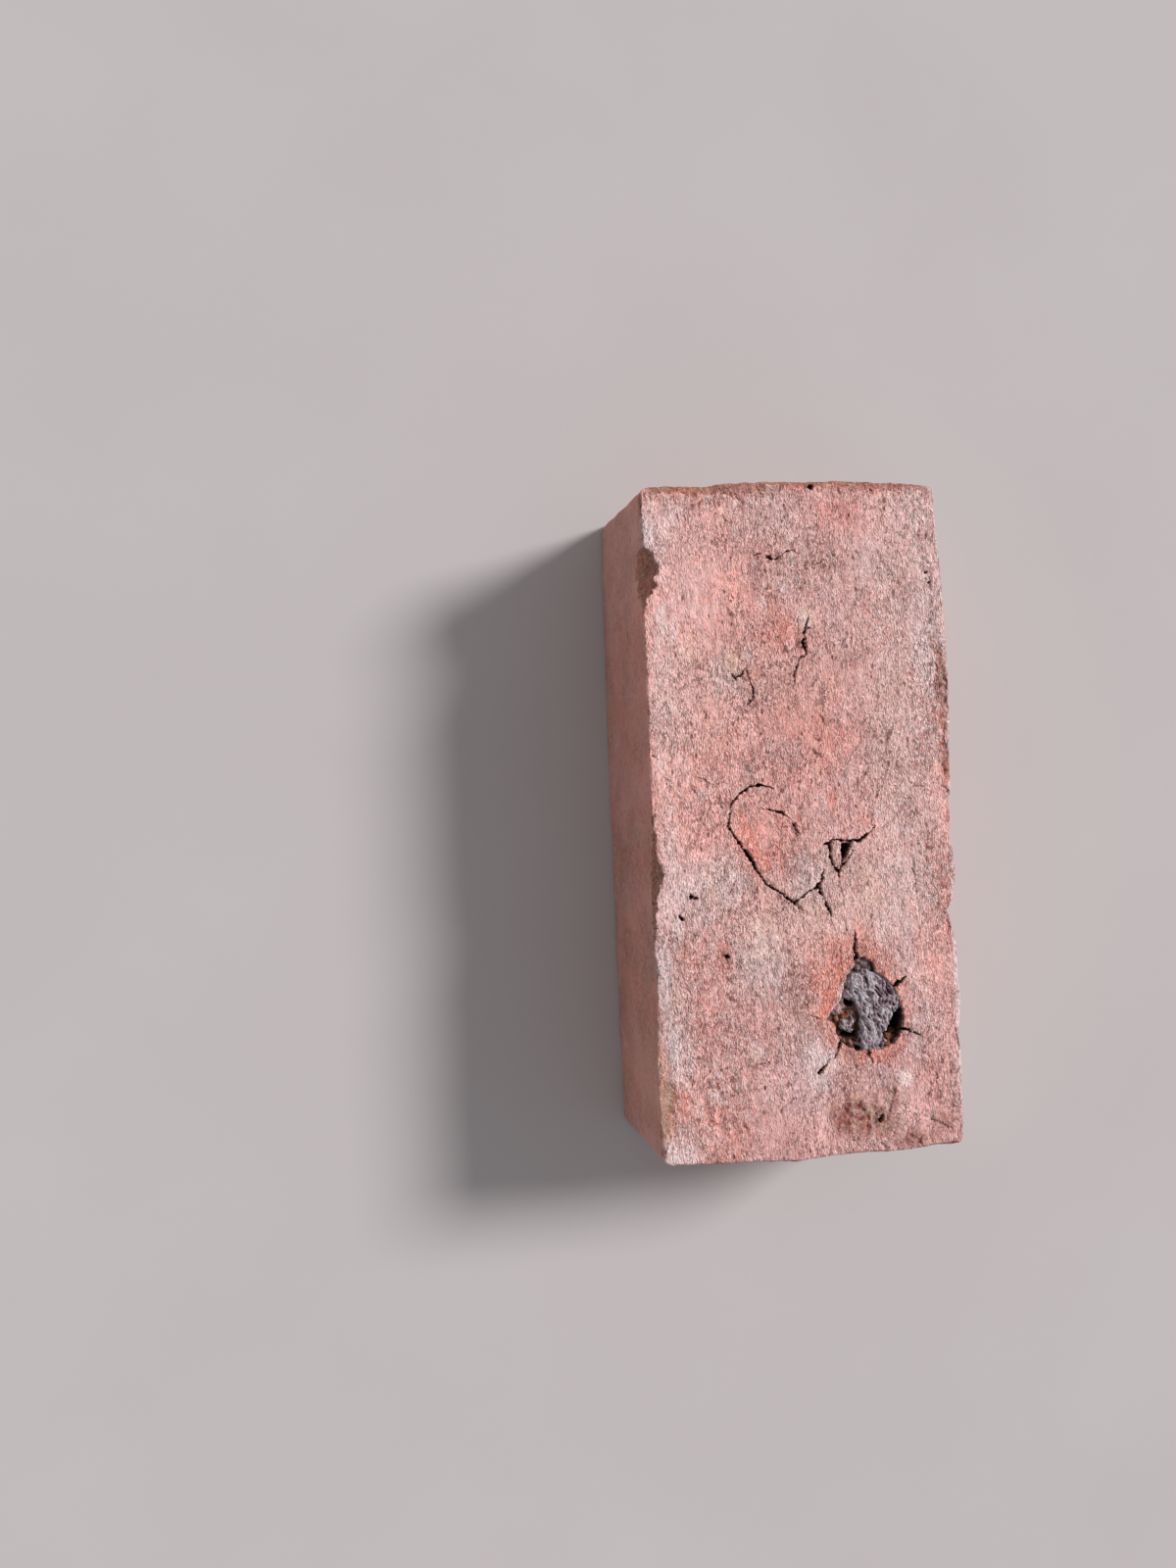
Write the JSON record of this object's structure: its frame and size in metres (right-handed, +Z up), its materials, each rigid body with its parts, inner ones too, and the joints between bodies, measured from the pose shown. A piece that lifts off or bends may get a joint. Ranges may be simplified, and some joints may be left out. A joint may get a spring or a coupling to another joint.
{
  "type": "solid fired clay brick",
  "caption": "Solid fired clay brick with worn edges, drying cracks and a slag nodule set in a pit in its upper face.",
  "frame": {"origin": "middle of the lower bed, the face that the brick lies on", "axes": "+X along the length, +Y across the width, +Z up through the thickness to the upper bed"},
  "size_m": [0.25, 0.12, 0.065],
  "materials": {
    "fired_clay": "matt pink-red fired clay, struck and dragged along its length, with pale dusting"
  },
  "bodies": {
    "root": {"brick": "fired_clay"}
  },
  "joints": []
}
